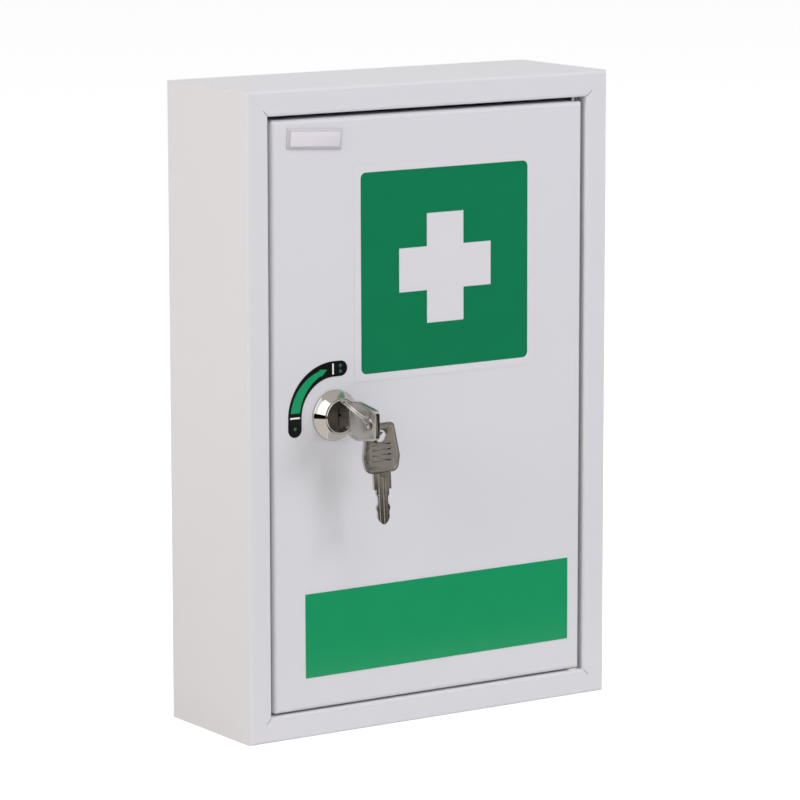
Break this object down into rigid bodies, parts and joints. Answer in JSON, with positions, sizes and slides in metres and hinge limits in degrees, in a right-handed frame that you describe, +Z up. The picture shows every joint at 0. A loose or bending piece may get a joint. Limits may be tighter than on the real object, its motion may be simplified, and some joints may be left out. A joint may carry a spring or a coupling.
{
  "type": "lockable wall medicine cabinet",
  "caption": "Shallow folded-sheet wall cabinet with an inset lockable door, shelves, a first-aid cross sign and a cam lock with its keys on a split ring.",
  "frame": {"origin": "centre of the cabinet's underside, in the middle of its width and of the depth from the front frame to the back panel", "axes": "+X to the viewer's right, +Y from the front to the wall, +Z up"},
  "size_m": [0.2, 0.1052, 0.3],
  "materials": {
    "white_enamel": "white powder coat, fine satin texture",
    "zinc_steel": "zinc plated, satin",
    "polished_chrome": "polished plating",
    "satin_nickel": "satin nickel on a stamped blank",
    "plug_metal": "dark plated, turned face",
    "brass": "stamped, bare",
    "nylon": "natural nylon, matt",
    "black_rubber": "matt rubber",
    "white_foil": "self-adhesive foil, semi-gloss",
    "sign_green": "printed foil, semi-gloss",
    "strip_green": "printed foil, semi-gloss",
    "black_foil": "printed foil, satin",
    "arrow_green": "printed foil, satin",
    "plate_silver": "clear domed silver foil"
  },
  "bodies": {
    "cabinet": {"body_wrap": "white_enamel", "top_panel": "white_enamel", "bottom_panel": "white_enamel", "upper_shelf": "white_enamel", "lower_shelf": "white_enamel", "pivot_pins": "zinc_steel", "pin_clips": "zinc_steel", "pivot_washer": "nylon", "door_bumpers": "black_rubber"},
    "door": {"door_panel": "white_enamel", "lock_housing": "polished_chrome", "nut_washer": "zinc_steel", "ring_nut": "zinc_steel", "sign_backing": "white_foil", "sign_field_print": "sign_green", "strip_label": "strip_green", "dome_plate": "plate_silver", "lock_label": "black_foil", "lock_arrow": "arrow_green", "lock_marks": "white_foil"},
    "plug": {"lock_plug": "plug_metal", "stop_washer": "zinc_steel", "lock_cam": "zinc_steel", "cam_washer": "zinc_steel", "cam_screw": "zinc_steel"},
    "wafers": {"lock_wafers": "brass"},
    "key": {"lock_key": "satin_nickel"},
    "ring": {"split_ring": "polished_chrome"},
    "spare": {"spare_key": "satin_nickel"}
  },
  "joints": [
    {"name": "door_hinge", "type": "hinge", "parent": "cabinet", "child": "door", "pos_m": [0.0832, -0.031, 0.15], "axis": [0, 0, 1], "range_deg": [0, 110]},
    {"name": "plug_turn", "type": "hinge", "parent": "door", "child": "plug", "pos_m": [-0.053, -0.0392, 0.14935], "axis": [0, -1, 0], "range_deg": [0, 90]},
    {"name": "key_slide", "type": "slide", "parent": "plug", "child": "key", "axis": [0, -1, 0], "range_m": [0, 0.025]},
    {"name": "wafer_slide", "type": "slide", "parent": "plug", "child": "wafers", "axis": [0, 0, 1], "range_m": [0, 0.0005]},
    {"name": "ring_swing", "type": "hinge", "parent": "key", "child": "ring", "pos_m": [-0.053, -0.0642, 0.14935], "axis": [0, -0.9563, -0.2924], "range_deg": [0, 20]},
    {"name": "spare_swing", "type": "hinge", "parent": "ring", "child": "spare", "pos_m": [-0.04268, -0.05622, 0.14335], "axis": [0.3505, 0.9366, 0], "range_deg": [-60, 15]}
  ],
  "couplings": [
    {"joint": "wafer_slide", "follows": "key_slide", "ratio": 0.02}
  ]
}
